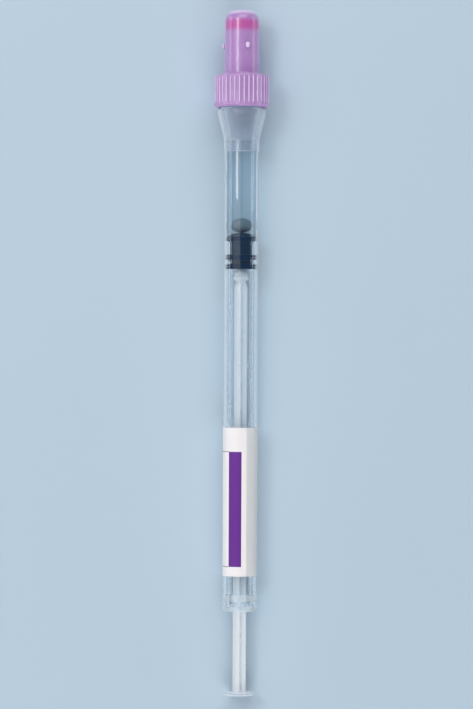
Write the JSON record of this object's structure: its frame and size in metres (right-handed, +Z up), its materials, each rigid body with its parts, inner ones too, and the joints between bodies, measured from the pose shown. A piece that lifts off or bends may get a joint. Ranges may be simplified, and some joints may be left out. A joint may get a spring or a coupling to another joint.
{
  "type": "blood collection tube",
  "caption": "Slim plunger-type blood collection tube with a ribbed screw cap and septum, a frosted neck, a piston on a snap-off rod, a mixing ball and a wrap label.",
  "frame": {"origin": "centre of the footprint on the table that the tube lies on, under the middle of its length", "axes": "+Z up; the tube lies along Y with the cap towards +Y and the thumb disc towards -Y, its axis rising 1.2 degrees towards the cap; +X across"},
  "size_m": [0.0126, 0.1576, 0.0128],
  "materials": {
    "clear_plastic": "clear moulded plastic, polished",
    "frosted_plastic": "natural translucent plastic, fine frosted",
    "label_paper": "coated white label paper with a purple printed field",
    "piston_rubber": "dark navy rubber, siliconised satin",
    "rod_plastic": "milky translucent plastic, satin",
    "ball_plastic": "grey translucent plastic, polished",
    "cap_plastic": "translucent lavender moulded plastic, satin",
    "septum_rubber": "soft magenta rubber, matt"
  },
  "bodies": {
    "tube": {"barrel": "clear_plastic", "neck": "frosted_plastic", "label": "label_paper"},
    "plunger": {"plunger_rod": "rod_plastic", "piston": "piston_rubber", "mixing_ball": "ball_plastic"},
    "septum": {"septum": "septum_rubber"},
    "cap": {"screw_cap": "cap_plastic"}
  },
  "joints": [
    {"name": "plunger_slide", "type": "slide", "parent": "tube", "child": "plunger", "axis": [0, 0.9998, 0.0211], "range_m": [-0.0747, 0.0184]},
    {"name": "cap_lift", "type": "slide", "parent": "tube", "child": "septum", "axis": [0, 0.9998, 0.0211], "range_m": [0, 0.00384]},
    {"name": "cap_turn", "type": "hinge", "parent": "septum", "child": "cap", "pos_m": [0, 0.05646, 0.00633], "axis": [0, 0.9998, 0.0211], "range_deg": [0, 576]}
  ],
  "couplings": [
    {"joint": "cap_lift", "follows": "cap_turn", "m_per_rad": 0.00038197}
  ]
}
